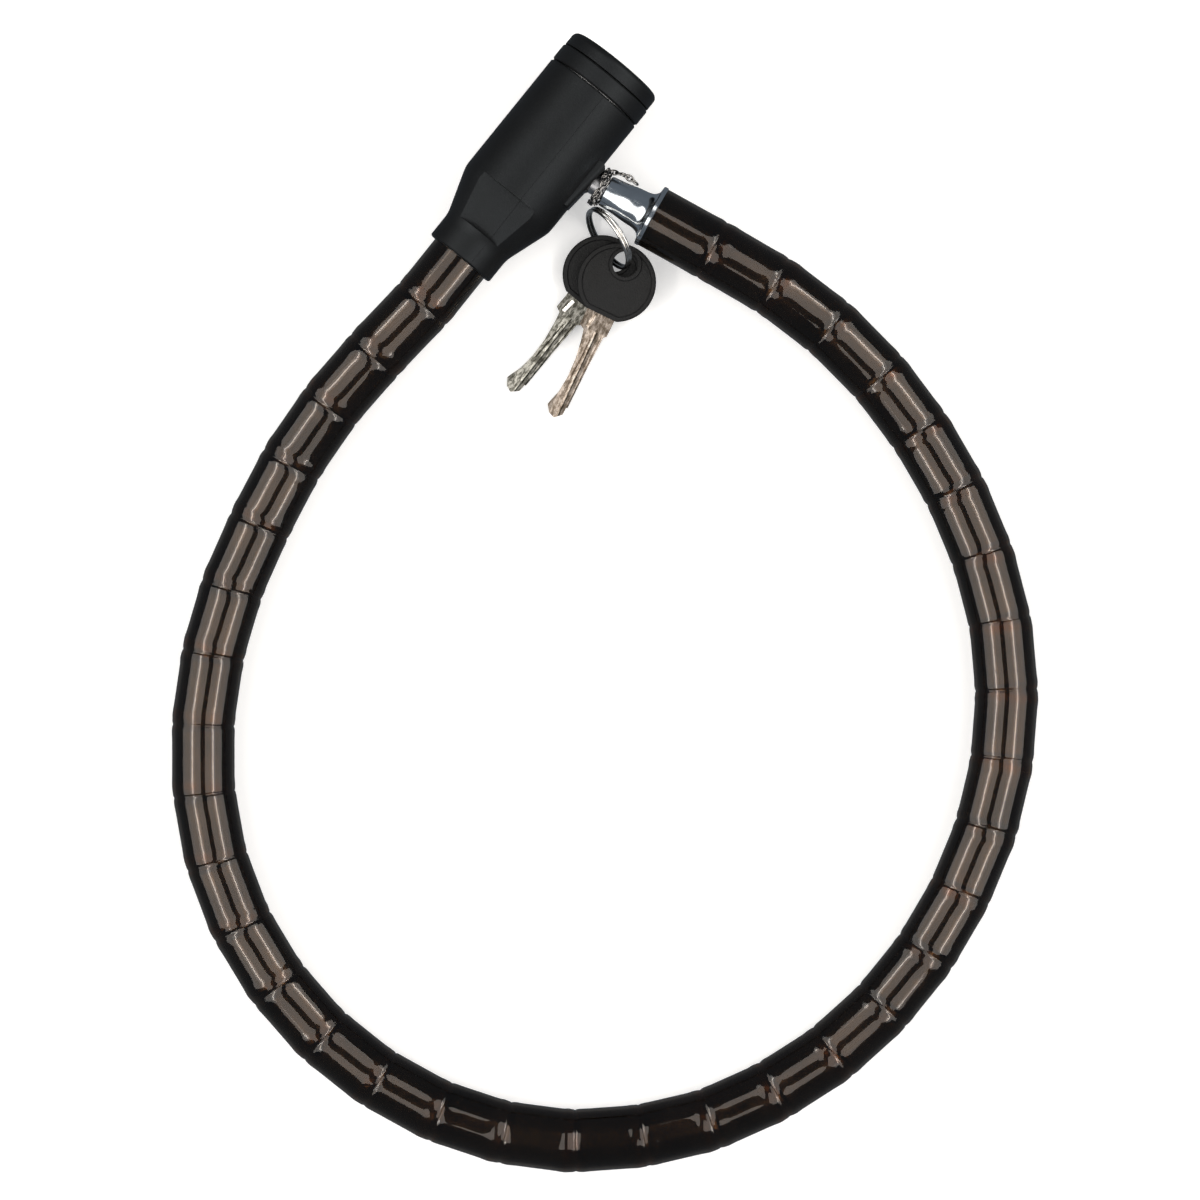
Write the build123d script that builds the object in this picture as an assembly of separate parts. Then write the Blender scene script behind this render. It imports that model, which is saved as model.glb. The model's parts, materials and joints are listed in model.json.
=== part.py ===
from build123d import *
import math
import os

# An armoured cable lock: a chain of steel links on a wire rope in a clear PVC sheath, with a lock head
# on one end and a locking bolt on the other, closed into a loop. All sizes are in millimetres.

# --- the cable -----------------------------------------------------------------------------------
LINK_COUNT = 36
PITCH = 24.15
SHEATH_RADIUS = 11.0
SHEATH_WALL = 1.05
LINK_RADIUS = 9.65
BALL_RADIUS = 8.2
BALL_WALL = 1.6
CUP_RADIUS = 8.5
HOLE_RADIUS = 4.9
ROPE_RADIUS = 3.0
LINK_SHOULDER = 3.6
LINK_FLOOR = 5.2
SKIRT = 0.8
SEAT_DEPTH = 4.0
SEAT_RADIUS = 7.45
CHAMFER = 0.5
BEND_REACH = 4.0

# How the cable lies: the turn at each joint in degrees, from the head round to the bolt. Together they
# bring the last link back to the socket in the side of the head.
TURNS = [
    -5.0, 2.5, 6.5, 7.0, 4.0, 7.5, 8.0, 8.5, 10.0, 10.5, 10.5, 10.0,
    10.5, 9.5, 10.5, 11.0, 11.5, 9.0, 11.0, 8.5, 9.5, 9.0, 8.5, 8.0,
    9.0, 9.0, 9.5, 9.5, 8.0, 7.5, 7.0, 8.0, 8.0, 7.0, 1.0,
]  # fmt: skip

# The head lies higher than the cable, so the cable comes down to the floor over a few links.
RAMP = [1 / 6, 1 / 3, 1 / 3, 1 / 6]

# --- the head, by distance from the outer face of its dust cap ------------------------------------
HEAD_RADIUS = 18.5
HEAD_HEADING = 51.05
CAP_RADIUS = 18.2
CAP_LENGTH = 5.6
RING_START = 6.0
RING_END = 12.3
COVER_START = 12.7
TAPER_START = 60.3
COLLAR_START = 76.9
COLLAR_RADIUS = 13.0
HEAD_LENGTH = 86.5
CABLE_START = 81.0
CORE_RADIUS = 15.5
CORE_START = 9.0
CORE_END = 58.0
FACET_START = 58.6
FACET_END = 75.6
FACET_TOP = 15.0
FACET_SLOPE = 14.4
SHEATH_START = 78.5
ANCHOR_START = 54.0
ANCHOR_END = 67.5
SPIGOT_WALL = 3.0
SLOT_CLEARANCE = 2.0
CAP_ROUND = 2.2
TAPER_BEND = 12.0
BOSS_WIDTH = 19.6
BOSS_HEIGHT = 15.6
BOSS_REACH = 20.2
BOSS_ROUND = 1.8
BOSS_SHIFT = 1.0

# --- the lock cylinder ---------------------------------------------------------------------------
BARREL_RADIUS = 10.0
BARREL_END = 28.0
PIN_PLACE = 24.0
PIN_RADIUS = 1.5
PIN_BITE = 1.6
PLUG_RADIUS = 6.25
PLUG_START = 7.6
PLUG_END = 27.0
FLANGE_RADIUS = 7.4
FLANGE_DEPTH = 1.2
CAM_RADIUS = 4.8
CAM_DEPTH = 0.9
CLIP_WIDTH = 1.1
CLIP_DEPTH = 1.0
KEYWAY_WIDTH = 2.5
KEYWAY_HEIGHT = 9.6
WAFER_COUNT = 6
WAFER_THICKNESS = 0.9
WAFER_SPACING = 2.4
WAFER_FIRST = 11.4
WAFER_WIDTH = 4.2
WAFER_STEP = 0.6
WINDOW_HEIGHT = 6.4
POCKET_PLACE = 3.1
POCKET = (1.2, 1.3, 6.0)
WAFER_SPRING_RADIUS = 0.42
WAFER_SPRING_WIRE = 0.13
WAFER_SPRING_LENGTH = 4.8
SPRING_TURNS = 5
RUNNING_GAP = 0.06
FIT_GAP = 0.02

# --- the latch and the bolt ----------------------------------------------------------------------
LATCH_RADIUS = 3.0
LATCH_WELL = 0.8
LATCH_COLLAR = 1.0
LATCH_START = 28.9
LATCH_TIP_GAP = 0.7
LATCH_SPRING_WIRE = 0.22
LATCH_SPRING_TURNS = 3
BOLT_RADIUS = 4.8
BOLT_NECK_RADIUS = 3.6
NECK_END = 24.2
BOLT_TIP = 51.0
TIP_LENGTH = 1.5
SOCKET_RADIUS = 5.3
SOCKET_DEPTH = 2.0
MOUTH_FLARE = 3.0
MOUTH_DEPTH = 1.5
GROOVE_WIDTH = 7.2
GROOVE_DEPTH = 2.2

# --- the ferrule ---------------------------------------------------------------------------------
FERRULE_GAP = 1.0
FERRULE_FLANGE = 11.2
FERRULE_END = 19.2
FERRULE_TIP_RADIUS = 5.6
FLARE = [(2.0, 8.9), (3.2, 7.5), (8.0, 6.6), (13.0, 6.0)]
FLANGE_EDGE = 0.3
FLANGE_BACK = 1.7
SPIGOT_RADIUS = 8.2
SPIGOT_LENGTH = 4.0
ROPE_SEAT = 9.0
STOP_WALL = 3.0

# --- the keys and their ring ---------------------------------------------------------------------
BOW_RADIUS = 13.75
BOW_THICKNESS = 3.6
BOW_HOLE = 4.5
HOLE_TO_BOW = 7.0
BLADE_THICKNESS = 2.0
KEY_RING_RADIUS = 11.5
KEY_RING_WIRE = 0.65
KEY_RING_HALF_GAP = 0.62
KEY_RING_PLACE = (10.35, 13.4, 11.8)
KEY_RING_HEADING = 152.0
KEY_RING_TILT = 72.0
BOW_EDGE = 19.4
BOW_CHAMFER = 0.35
RIM_WIDTH = 1.6
RIM_DEPTH = 0.35
LIP_WIDTH = 1.2
BLADE_START = 13.0
BLADE_WIDTH = 10.4
BLADE_GROOVE = (33.0, 1.5, 0.5)
BLADE_GROOVE_PLACE = (38.5, 1.0)
CUT_EDGE = [  # the blade's outline past its shoulder: its straight back, its point and its cut edge
    (26.4, 4.3), (56.8, 3.3), (59.0, 1.0), (58.0, -1.3), (55.6, -3.0), (53.6, -2.5),
    (50.0, -1.4), (44.0, -0.9), (37.0, -1.2), (31.0, -2.2), (26.6, -3.2),
]  # fmt: skip
BLADE_SHOULDER = 25.6
KEYS = {  # the ring hole's place, the way the blade points, and how steeply it points down
    "front": ((0.95, 18.4, 8.9), 92.75, 5.0),
    "back": ((5.3, 18.3, 4.3), 79.65, 3.0),
}
CHAIN_PLACE = 21.6
CHAIN_LOOP = 5.6
CHAIN_THICKNESS = 1.25


def direction(heading, rise=0.0):
    """The unit vector at a heading in degrees, climbing by rise per unit of length."""
    level = math.sqrt(1 - rise * rise)
    angle = math.radians(heading)
    return Vector(level * math.cos(angle), level * math.sin(angle), rise)


def frame_on(point, heading, rise=0.0):
    """A plane at a point, with X along the heading and climb, Y level and Z up."""
    ahead = direction(heading, rise)
    return Plane(origin=point, x_dir=ahead, z_dir=ahead.cross(direction(heading + 90)))


def lay_cable():
    """The frame of every link, from the head round to the ferrule, X along the link."""
    drop = (HEAD_RADIUS - SHEATH_RADIUS) / PITCH
    rises = [0.0] * LINK_COUNT
    for n, share in enumerate(RAMP):
        rises[1 + n] = -drop * share
        rises[LINK_COUNT - 1 - len(RAMP) + n] = drop * share
    point, heading, frames = Vector(CABLE_START, 0, 0), 0.0, []
    for rise, turn in zip(rises, TURNS + [0.0]):
        frames.append(frame_on(point, heading, rise))
        point = point + direction(heading, rise) * PITCH
        heading += turn
    return frames


LINK_FRAMES = lay_cable()
BOLT_HEADING = sum(TURNS)
FLANGE_POINT = LINK_FRAMES[-1].origin + direction(BOLT_HEADING) * (PITCH + FERRULE_GAP)
BOLT_FRAME = frame_on(FLANGE_POINT, BOLT_HEADING)

# Where the bolt's axis meets the head's: how far along the bolt, and how far along the head.
BOLT_REACH = -FLANGE_POINT.Y / direction(BOLT_HEADING).Y
SOCKET_PLACE = FLANGE_POINT.X + BOLT_REACH * direction(BOLT_HEADING).X


def turned(*corners):
    """A solid turned about the X axis, from (place along X, radius) corners."""
    return revolve(make_face(Polyline(*corners, close=True)), Axis.X)


def rod(start, end, radius, inner=0.0):
    """A rod or a tube along X."""
    solid = Pos(X=(start + end) / 2) * Rot(Y=90) * Cylinder(radius, end - start)
    if inner:
        solid -= Pos(X=(start + end) / 2) * Rot(Y=90) * Cylinder(inner, end - start + 1)
    return solid


def armour_link():
    """A steel cup: a ball end that sits in the mouth of the link before it, and a mouth for the next."""
    inner_ball = BALL_RADIUS - BALL_WALL
    ball_front = math.sqrt(BALL_RADIUS**2 - HOLE_RADIUS**2)
    shoulder_radius = math.sqrt(BALL_RADIUS**2 - LINK_SHOULDER**2)
    inner_front = math.sqrt(inner_ball**2 - HOLE_RADIUS**2)
    shoulder = (LINK_SHOULDER, shoulder_radius)
    outer_arc = ThreePointArc((-ball_front, HOLE_RADIUS), (0, BALL_RADIUS), shoulder)
    inner_arc = ThreePointArc((inner_front, HOLE_RADIUS), (0, inner_ball), (-inner_front, HOLE_RADIUS))
    mouth = PITCH + SKIRT
    steps = Polyline(
        shoulder,
        (LINK_SHOULDER, LINK_RADIUS - CHAMFER),
        (LINK_SHOULDER + CHAMFER, LINK_RADIUS),
        (mouth - CHAMFER, LINK_RADIUS),
        (mouth, LINK_RADIUS - CHAMFER),
        (mouth, CUP_RADIUS),
        (PITCH - SEAT_DEPTH, CUP_RADIUS),
        (PITCH - SEAT_DEPTH, SEAT_RADIUS),
        (LINK_FLOOR, SEAT_RADIUS),
        (LINK_FLOOR, HOLE_RADIUS),
        (inner_front, HOLE_RADIUS),
    )
    front = Line((-inner_front, HOLE_RADIUS), (-ball_front, HOLE_RADIUS))
    return revolve(make_face([outer_arc, steps, inner_arc, front]), Axis.X)


def bent_tube(points, radius, inner=0.0):
    """A rod or tube on straight runs joined by short tangent arcs."""
    pieces, start = [], points[0]
    for before, corner, after in zip(points, points[1:], points[2:]):
        entry = (corner - before).normalized()
        leaving = (after - corner).normalized()
        half_turn = math.radians(entry.get_angle(leaving)) / 2
        bend_radius = BEND_REACH / math.tan(half_turn)
        bend_start = corner - entry * BEND_REACH
        centre = corner + (leaving - entry).normalized() * (bend_radius / math.cos(half_turn))
        pieces.append(straight_tube(start, bend_start, radius, inner))
        section = Plane(origin=bend_start, z_dir=entry) * ring_face(radius, inner)
        hinge = Axis(centre, entry.cross(leaving))
        pieces.append(revolve(section, hinge, math.degrees(2 * half_turn)))
        start = corner + leaving * BEND_REACH
    pieces.append(straight_tube(start, points[-1], radius, inner))
    return pieces[0].fuse(*pieces[1:])


def ring_face(radius, inner):
    """A disc, or a ring when it has an inner radius."""
    return Circle(radius) - Circle(inner) if inner else Circle(radius)


def straight_tube(start, end, radius, inner):
    """A straight rod or tube from point to point."""
    run = end - start
    return extrude(Plane(origin=start, z_dir=run) * ring_face(radius, inner), run.length)


def cable_points(before, after):
    """The cable's line through every joint, with its ends at places on the head's and the bolt's axes."""
    joints = [frame.origin for frame in LINK_FRAMES[1:]]
    return [Vector(before, 0, 0), *joints, FLANGE_POINT + direction(BOLT_HEADING) * after]


def socket_bore(radius, depth):
    """A rod on the bolt's line, from outside the boss to a depth beyond the head's axis."""
    return BOLT_FRAME.location * rod(0, BOLT_REACH + depth, radius)


def facet():
    """What is cut away over the flat on the taper."""
    drop = (FACET_END - FACET_START) * math.tan(math.radians(FACET_SLOPE))
    side = Polyline(
        (FACET_START, FACET_TOP),
        (FACET_END, FACET_TOP - drop),
        (FACET_END, HEAD_RADIUS + 1),
        (FACET_START, HEAD_RADIUS + 1),
        close=True,
    )
    return extrude(Plane.XZ * make_face(side), HEAD_RADIUS, both=True)


def boss():
    """The low square boss round the bolt's socket, a little proud on the cap's side."""
    start = SOCKET_PLACE - BOSS_SHIFT - BOSS_WIDTH / 2
    plan = Polyline(
        (start, 0),
        (start, BOSS_REACH),
        (start + BOSS_WIDTH, HEAD_RADIUS),
        (start + BOSS_WIDTH, 0),
        close=True,
    )
    block = extrude(make_face(plan), BOSS_HEIGHT / 2, both=True)
    outer = block.edges().group_by(Axis.Y)[-2:]
    return fillet([edge for group in outer for edge in group], BOSS_ROUND)


def lock_cover():
    """The moulded cover: a plain cylinder, a taper with a flat on two sides, a collar and a side boss."""
    side = Polyline(
        (COVER_START, 0),
        (COVER_START, HEAD_RADIUS - CHAMFER),
        (COVER_START + CHAMFER, HEAD_RADIUS),
        (TAPER_START, HEAD_RADIUS),
        (COLLAR_START, COLLAR_RADIUS),
        (HEAD_LENGTH - CHAMFER, COLLAR_RADIUS),
        (HEAD_LENGTH, COLLAR_RADIUS - CHAMFER),
        (HEAD_LENGTH, 0),
        close=True,
    )
    profile = make_face(side)
    corners = profile.vertices().filter_by(lambda v: TAPER_START <= v.X <= COLLAR_START)
    outside = revolve(fillet(corners, TAPER_BEND), Axis.X)
    for half_turn in (0, 180):
        outside -= Rot(X=half_turn) * facet()
    outside += boss()
    hollow = turned(
        (COVER_START, 0),
        (COVER_START, CORE_RADIUS + FIT_GAP),
        (CORE_END + FIT_GAP, CORE_RADIUS + FIT_GAP),
        (CORE_END + FIT_GAP, LINK_RADIUS + FIT_GAP),
        (SHEATH_START - FIT_GAP, LINK_RADIUS + FIT_GAP),
        (SHEATH_START - FIT_GAP, SHEATH_RADIUS + FIT_GAP),
        (HEAD_LENGTH, SHEATH_RADIUS + FIT_GAP),
        (HEAD_LENGTH, 0),
    )
    mouth = BOLT_FRAME.location * turned(
        (FERRULE_END, 0),
        (FERRULE_END, SOCKET_RADIUS + MOUTH_FLARE),
        (BOLT_REACH - BOSS_REACH + MOUTH_DEPTH, SOCKET_RADIUS),
        (BOLT_REACH, SOCKET_RADIUS),
        (BOLT_REACH, 0),
    )
    return outside - hollow - mouth


def cover_ring():
    """The ring round the front of the core that keeps the dust cap on."""
    return turned(
        (RING_START, CAP_RADIUS - SPIGOT_WALL),
        (RING_START, HEAD_RADIUS - CHAMFER),
        (RING_START + CHAMFER, HEAD_RADIUS),
        (RING_END - CHAMFER, HEAD_RADIUS),
        (RING_END, HEAD_RADIUS - CHAMFER),
        (RING_END, CORE_RADIUS + FIT_GAP),
        (CORE_START - FIT_GAP, CORE_RADIUS + FIT_GAP),
        (CORE_START - FIT_GAP, CAP_RADIUS - SPIGOT_WALL),
    )


def dust_cap():
    """The turning cap, with a rounded rim, a key slot and a spigot that turns in the ring."""
    cap = rod(0, CAP_LENGTH, CAP_RADIUS)
    rim = cap.edges().filter_by(GeomType.CIRCLE).sort_by(Axis.X)[0]
    cap = fillet(rim, CAP_ROUND)
    spigot_radius = CAP_RADIUS - SPIGOT_WALL - RUNNING_GAP
    cap += rod(CAP_LENGTH, CORE_START - CHAMFER, spigot_radius, FLANGE_RADIUS + SLOT_CLEARANCE)
    slot = Box(2 * CAP_LENGTH, KEYWAY_HEIGHT + SLOT_CLEARANCE, KEYWAY_WIDTH + SLOT_CLEARANCE / 2)
    return cap - Pos(X=CAP_LENGTH / 2) * slot


def lock_core():
    """The die-cast body: a front bore for the lock barrel, a cross bore for the bolt and a rear neck."""
    core = rod(CORE_START, CORE_END, CORE_RADIUS)
    core += rod(CORE_END, CABLE_START + SKIRT, LINK_RADIUS)
    core -= rod(CORE_START, BARREL_END + FIT_GAP, BARREL_RADIUS + FIT_GAP)
    core -= rod(BARREL_END, BARREL_END + CAM_DEPTH, CAM_RADIUS + LATCH_TIP_GAP)
    core -= rod(BARREL_END, SOCKET_PLACE, LATCH_RADIUS + LATCH_WELL)
    core -= socket_bore(SOCKET_RADIUS, BOLT_TIP - BOLT_REACH + SOCKET_DEPTH)
    core -= rod(ANCHOR_START - SOCKET_DEPTH, ANCHOR_END + CHAMFER, SEAT_RADIUS)
    core -= rod(CORE_END, CABLE_START, HOLE_RADIUS)
    core -= Pos(X=CABLE_START) * Sphere(CUP_RADIUS)
    core -= rod(CABLE_START, CABLE_START + 2 * SKIRT, CUP_RADIUS)
    core -= barrel_pin(FIT_GAP)
    return core


def barrel_pin(gap=0.0):
    """The pin through the core that holds the lock barrel."""
    top = CORE_RADIUS - CHAMFER
    foot = BARREL_RADIUS - PIN_BITE
    return Pos(X=PIN_PLACE, Z=(top + foot) / 2) * Cylinder(PIN_RADIUS + gap, top - foot)


def wafer_places():
    """Where the wafers sit along the plug."""
    return [WAFER_FIRST + n * WAFER_SPACING for n in range(WAFER_COUNT)]


def lock_barrel():
    """The fixed barrel, with the plug's bore and seat and two grooves that the wafers drop into."""
    barrel = rod(CORE_START, BARREL_END, BARREL_RADIUS, PLUG_RADIUS + RUNNING_GAP)
    barrel -= rod(CORE_START - FLANGE_DEPTH, CORE_START + FLANGE_DEPTH, FLANGE_RADIUS + RUNNING_GAP)
    groove = Box(WAFER_COUNT * WAFER_SPACING + 2, WAFER_WIDTH + CHAMFER, 2 * PLUG_RADIUS + 3)
    middle = WAFER_FIRST + (WAFER_COUNT - 1) * WAFER_SPACING / 2
    barrel -= Pos(X=middle) * groove
    barrel -= barrel_pin(FIT_GAP)
    return barrel


def wafer(gap=0.0):
    """A wafer: a flat plate with a window for the key."""
    height = 2 * PLUG_RADIUS - WAFER_STEP
    plate = Box(WAFER_THICKNESS + 2 * gap, WAFER_WIDTH + 2 * gap, height + 2 * gap)
    if gap:
        return plate
    return plate - Box(2 * WAFER_THICKNESS, KEYWAY_WIDTH, WINDOW_HEIGHT)


def key_plug():
    """The turning plug, with a front flange, the keyway, slots for the wafers and a cam behind."""
    plug = rod(PLUG_START, PLUG_END, PLUG_RADIUS)
    plug += rod(PLUG_START, CORE_START + FLANGE_DEPTH - RUNNING_GAP, FLANGE_RADIUS)
    plug += rod(PLUG_END, BARREL_END + CAM_DEPTH / 2, CAM_RADIUS)
    plug -= rod(PLUG_END - CLIP_WIDTH, PLUG_END, PLUG_RADIUS + 1, PLUG_RADIUS - CLIP_DEPTH)
    keyway = Box(PLUG_END - PLUG_START, KEYWAY_WIDTH, KEYWAY_HEIGHT)
    plug -= Pos(X=(PLUG_START + PLUG_END) / 2 - 2 * CLIP_WIDTH) * keyway
    for place in wafer_places():
        plug -= Pos(X=place) * wafer(FIT_GAP)
        plug -= spring_pocket(place)
    return plug


def spring_pocket(place):
    """The pocket beside a wafer for its spring."""
    return Pos(place, POCKET_PLACE, 0) * Box(*POCKET)


def wafers():
    """All the wafers, each a plate of its own."""
    return Compound(children=[Pos(X=place) * wafer() for place in wafer_places()])


def coil(radius, wire, length, turns):
    """A coil spring along Z, from Z = 0."""
    path = Helix(pitch=length / turns, height=length, radius=radius)
    section = Plane(origin=path @ 0, z_dir=path % 0) * Circle(wire)
    return sweep(section, path)


def wafer_springs():
    """The small coil springs that push the wafers out, one beside each wafer."""
    spring = Pos(Y=POCKET_PLACE, Z=-WAFER_SPRING_LENGTH / 2) * coil(
        WAFER_SPRING_RADIUS, WAFER_SPRING_WIRE, WAFER_SPRING_LENGTH, SPRING_TURNS
    )
    return Compound(children=[Pos(X=place) * spring for place in wafer_places()])


def plug_clip():
    """The open ring in the plug's rear groove."""
    clip = rod(
        PLUG_END - CLIP_WIDTH + RUNNING_GAP,
        PLUG_END - RUNNING_GAP,
        PLUG_RADIUS - RUNNING_GAP,
        PLUG_RADIUS - CLIP_DEPTH + RUNNING_GAP,
    )
    return clip - Pos(X=PLUG_END, Y=PLUG_RADIUS) * Box(PLUG_RADIUS, PLUG_RADIUS, WAFER_WIDTH)


def latch_end():
    """Where the latch's nose is at rest: just clear of the bolt."""
    return SOCKET_PLACE - BOLT_RADIUS - LATCH_TIP_GAP


def latch():
    """The latch: a round pin on the head's axis, with a collar for its spring and a rounded nose."""
    pin = rod(LATCH_START, latch_end(), LATCH_RADIUS - CHAMFER)
    tip = pin.edges().filter_by(GeomType.CIRCLE).sort_by(Axis.X)[-1]
    return chamfer(tip, CHAMFER) + rod(LATCH_START, LATCH_START + LATCH_COLLAR, LATCH_RADIUS + CHAMFER)


def latch_spring():
    """The coil round the latch that draws it back."""
    start = LATCH_START + LATCH_COLLAR + 2 * LATCH_SPRING_WIRE
    length = latch_end() - CHAMFER - start
    spring = coil(LATCH_RADIUS + CHAMFER / 2, LATCH_SPRING_WIRE, length, LATCH_SPRING_TURNS)
    return Pos(X=start) * Rot(Y=90) * spring


def rope_anchor():
    """The crimped sleeve that holds the rope inside the core."""
    sleeve = rod(ANCHOR_START, ANCHOR_END, SEAT_RADIUS - CHAMFER, ROPE_RADIUS + FIT_GAP)
    end = sleeve.edges().filter_by(GeomType.CIRCLE).group_by(Axis.X)[0]
    return chamfer(end.sort_by(SortBy.RADIUS)[-1], 2 * CHAMFER)


def locking_bolt():
    """The bolt: a thin neck for the key chain, a shank with a catch groove and a bullet tip."""
    groove_start = BOLT_REACH - GROOVE_WIDTH / 2
    groove_end = BOLT_REACH + GROOVE_WIDTH / 2
    return turned(
        (ROPE_SEAT, 0),
        (ROPE_SEAT, BOLT_NECK_RADIUS),
        (NECK_END, BOLT_NECK_RADIUS),
        (NECK_END + BOLT_RADIUS - BOLT_NECK_RADIUS, BOLT_RADIUS),
        (groove_start - CHAMFER, BOLT_RADIUS),
        (groove_start, BOLT_RADIUS - GROOVE_DEPTH),
        (groove_end, BOLT_RADIUS - GROOVE_DEPTH),
        (groove_end + CHAMFER, BOLT_RADIUS),
        (BOLT_TIP - TIP_LENGTH, BOLT_RADIUS - CHAMFER),
        (BOLT_TIP, BOLT_RADIUS - GROOVE_DEPTH),
        (BOLT_TIP, 0),
    )


def ferrule():
    """The bright trumpet-shaped end piece: a spigot for the last link, a flange and a slim barrel."""
    rim = (FERRULE_END - CHAMFER, FERRULE_TIP_RADIUS)
    corners = Polyline(
        rim,
        (FERRULE_END, FERRULE_TIP_RADIUS - CHAMFER),
        (FERRULE_END, BOLT_NECK_RADIUS + FIT_GAP),
        (ROPE_SEAT, BOLT_NECK_RADIUS + FIT_GAP),
        (ROPE_SEAT, ROPE_RADIUS + STOP_WALL),
        (-SPIGOT_LENGTH, ROPE_RADIUS + STOP_WALL),
        (-SPIGOT_LENGTH, SPIGOT_RADIUS),
        (0, SPIGOT_RADIUS),
        (0, FERRULE_FLANGE - FLANGE_EDGE),
        (FLANGE_EDGE, FERRULE_FLANGE),
        (FLANGE_BACK - FLANGE_EDGE, FERRULE_FLANGE),
        (FLANGE_BACK, FERRULE_FLANGE - FLANGE_EDGE),
        FLARE[0],
    )
    return revolve(make_face([Spline(*FLARE, rim), corners]), Axis.X)


def rope_stop():
    """The crimped sleeve that holds the rope inside the ferrule."""
    outside = ROPE_RADIUS + STOP_WALL - CHAMFER
    return rod(CHAMFER - SPIGOT_LENGTH, ROPE_SEAT - CHAMFER, outside, ROPE_RADIUS + FIT_GAP)


def key_blade():
    """A flat key blade, from the ring hole's centre, with a straight back and a cut edge."""
    half = BLADE_WIDTH / 2
    outline = Polyline(
        (BLADE_START, -half),
        (BLADE_START, half),
        (BLADE_SHOULDER, half),
        *CUT_EDGE,
        (BLADE_SHOULDER, -half),
        close=True,
    )
    blade = extrude(make_face(outline), BLADE_THICKNESS / 2, both=True)
    length, width, depth = BLADE_GROOVE
    groove = Pos(*BLADE_GROOVE_PLACE) * SlotOverall(length, width)
    for side in (1, -1):
        blade -= Pos(Z=side * BLADE_THICKNESS / 2) * extrude(groove, depth, both=True)
    return blade


def key_bow():
    """A round moulded bow with a ring hole, a raised rim, and a pocket that holds the blade."""
    disc = Pos(X=HOLE_TO_BOW) * Cylinder(BOW_RADIUS, BOW_THICKNESS)
    disc = chamfer(disc.edges().filter_by(GeomType.CIRCLE), BOW_CHAMFER)
    cut = Box(BOW_RADIUS, 2 * BOW_RADIUS, 2 * BOW_THICKNESS, align=(Align.MIN, Align.CENTER, Align.CENTER))
    disc -= Pos(X=BOW_EDGE) * cut
    disc -= Cylinder(BOW_HOLE, 2 * BOW_THICKNESS)
    lip = Cylinder(BOW_HOLE + LIP_WIDTH, 2 * BOW_THICKNESS)
    recessed = Cylinder(BOW_RADIUS - RIM_WIDTH, 2 * RIM_DEPTH)
    for side in (1, -1):
        recess = Pos(HOLE_TO_BOW, 0, side * BOW_THICKNESS / 2) * recessed
        disc -= recess - lip - Pos(X=BOW_EDGE - RIM_WIDTH) * cut
    width, height = (size + 2 * FIT_GAP for size in (BLADE_WIDTH, BLADE_THICKNESS))
    pocket = Box(BOW_EDGE, width, height, align=(Align.MIN, Align.CENTER, Align.CENTER))
    return disc - Pos(X=BLADE_START - FIT_GAP) * pocket


def key_frame(name):
    """A key's frame: its ring hole's centre, X along the blade."""
    place, heading, slope = KEYS[name]
    point = BOLT_FRAME.from_local_coords(Vector(place[0], place[1], place[2] - HEAD_RADIUS))
    return frame_on(point, BOLT_HEADING + heading, -math.sin(math.radians(slope)))


def key_ring():
    """The split ring: two turns of wire lying against each other."""
    turn = Torus(KEY_RING_RADIUS, KEY_RING_WIRE)
    ring = Pos(Z=KEY_RING_HALF_GAP) * turn + Pos(Z=-KEY_RING_HALF_GAP) * turn
    x, y, z = KEY_RING_PLACE
    return Pos(x, y, z - HEAD_RADIUS) * Rot(Z=KEY_RING_HEADING) * Rot(X=KEY_RING_TILT) * ring


def key_chain():
    """The fine chain, as the round outline of its loop about the bolt's neck."""
    return Pos(X=CHAIN_PLACE) * Rot(Y=90) * Torus(CHAIN_LOOP, CHAIN_THICKNESS)


def build():
    """Every node, in the head's frame: origin at the cap's face, X along the head to the cable."""
    link = armour_link()
    nodes = {f"link_{n + 1:02d}": frame.location * link for n, frame in enumerate(LINK_FRAMES)}
    sheath_line = cable_points(SHEATH_START, -FIT_GAP)
    nodes["sheath"] = bent_tube(sheath_line, SHEATH_RADIUS, SHEATH_RADIUS - SHEATH_WALL)
    rope_line = cable_points(ANCHOR_START + CHAMFER, ROPE_SEAT - CHAMFER)
    nodes["wire_rope"] = bent_tube(rope_line, ROPE_RADIUS)
    for make in (
        lock_cover, cover_ring, dust_cap, lock_core, lock_barrel, barrel_pin, key_plug, wafers,
        wafer_springs, plug_clip, latch, latch_spring, rope_anchor,
    ):  # fmt: skip
        nodes[make.__name__] = make()
    for make in (ferrule, locking_bolt, rope_stop, key_ring, key_chain):
        nodes[make.__name__] = BOLT_FRAME.location * make()
    for name in KEYS:
        place = key_frame(name).location
        nodes[f"key_blade_{name}"] = place * key_blade()
        nodes[f"key_bow_{name}"] = place * key_bow()
    return nodes


def settle(nodes):
    """The move that stands everything on Z = 0 about the middle of its box."""
    turn = Rot(Z=HEAD_HEADING + 180)
    box = Compound(children=[turn * node for node in nodes.values()]).bounding_box()
    middle = (box.min + box.max) / 2
    return Pos(-middle.X, -middle.Y, -box.min.Z) * turn


def main():
    os.makedirs("parts", exist_ok=True)
    nodes = build()
    place = settle(nodes)
    for name, node in nodes.items():
        export_step(place * node, f"parts/{name}.step")


if __name__ == "__main__":
    main()
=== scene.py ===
import json
import math
import random

import bpy
import numpy as np
from mathutils import Matrix, Vector, noise


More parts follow.
